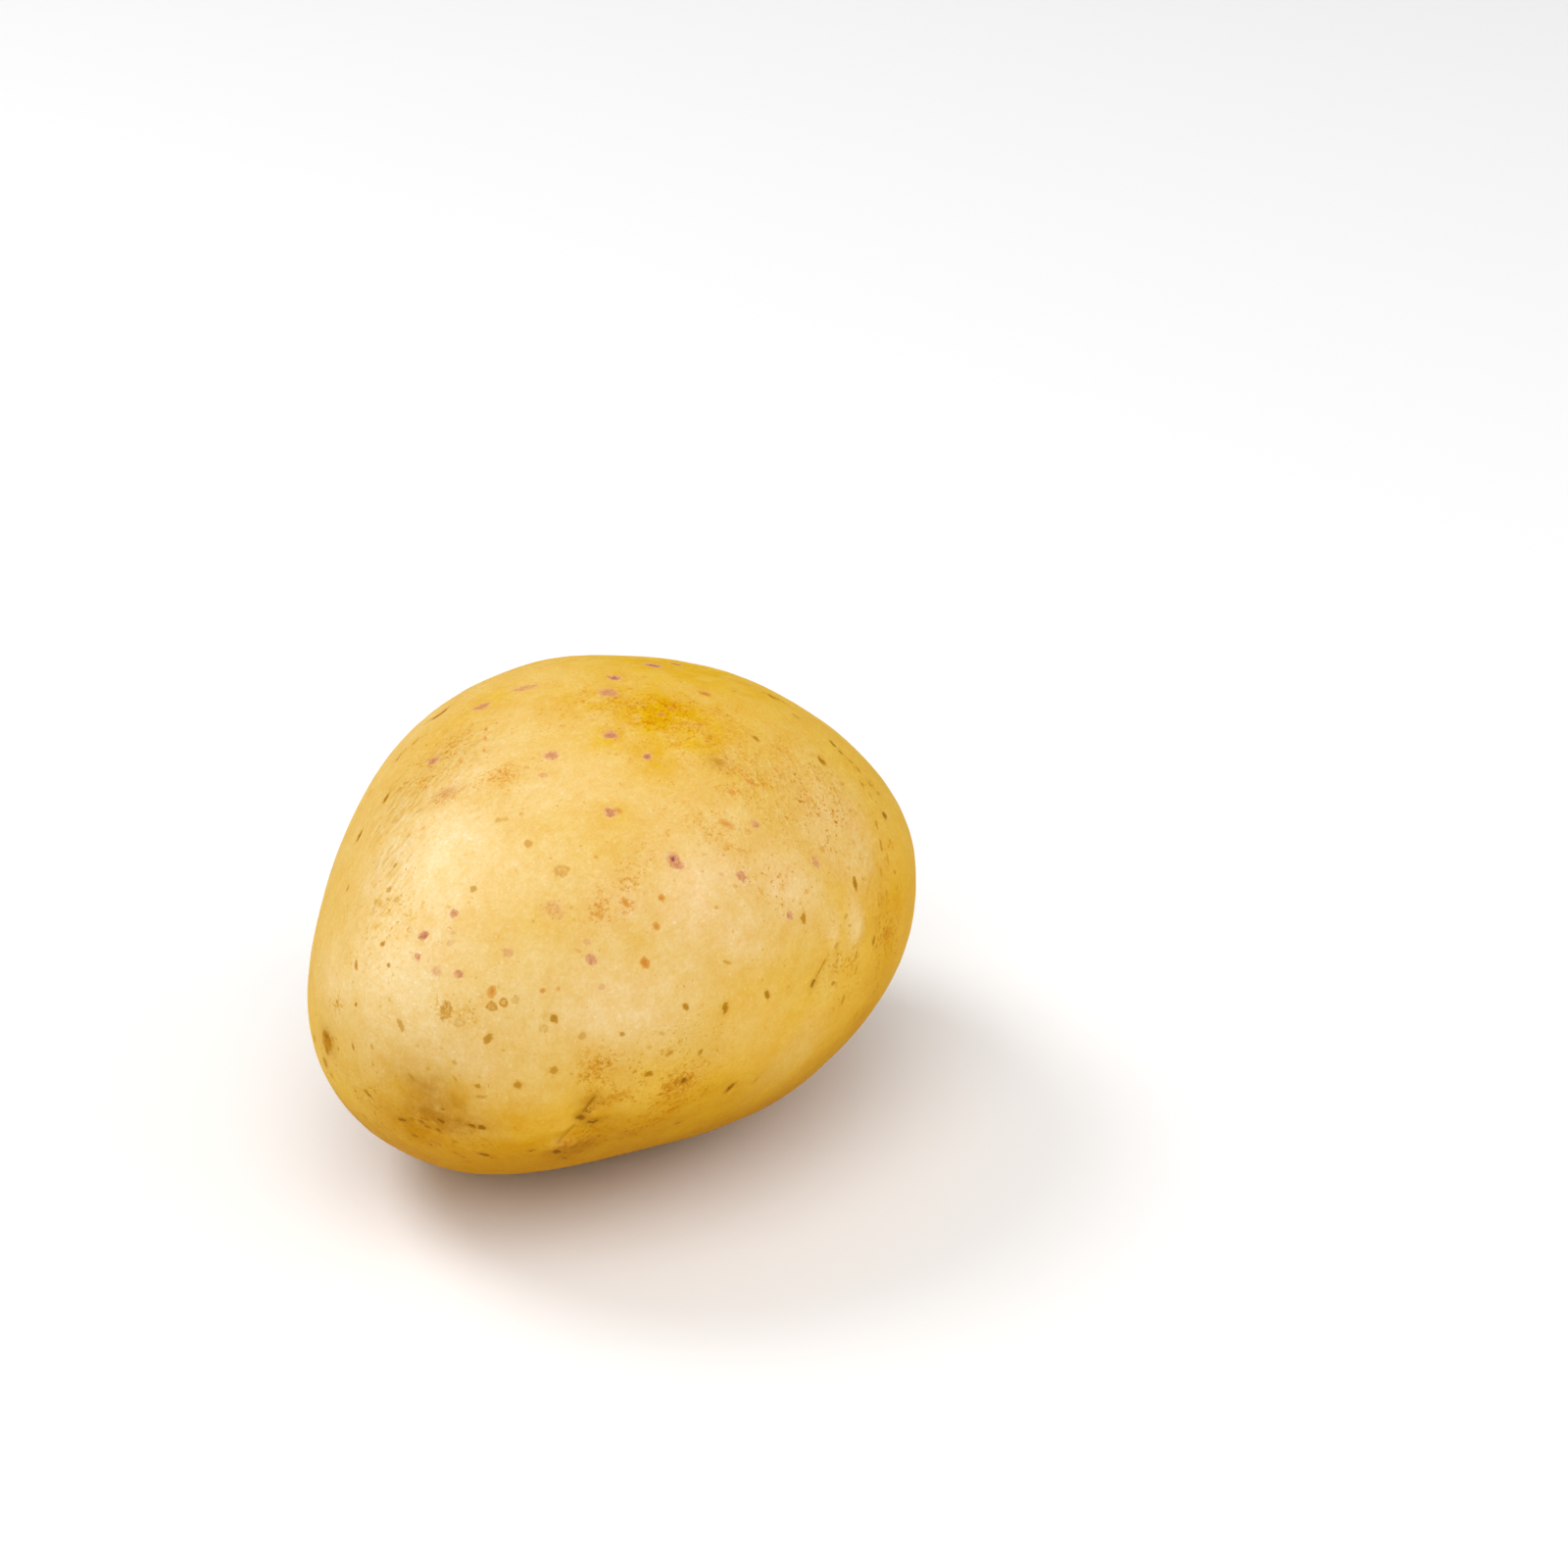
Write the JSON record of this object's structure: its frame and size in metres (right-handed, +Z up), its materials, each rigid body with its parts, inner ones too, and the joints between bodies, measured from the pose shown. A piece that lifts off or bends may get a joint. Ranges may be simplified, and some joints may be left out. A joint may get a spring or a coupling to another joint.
{
  "type": "potato",
  "caption": "Whole raw potato: an oval, slightly lopsided tuber with shallow eyes and a thin yellow skin, lying on a small flat spot.",
  "frame": {"origin": "On the surface the potato lies on, under the middle of its bounding box.", "axes": "+X along the tuber from its stem end to its bud end, +Y across it at its widest, +Z up, through its flattest way."},
  "size_m": [0.0898, 0.071, 0.0624],
  "materials": {
    "skin": null
  },
  "bodies": {
    "root": {"potato": "skin"}
  },
  "joints": []
}
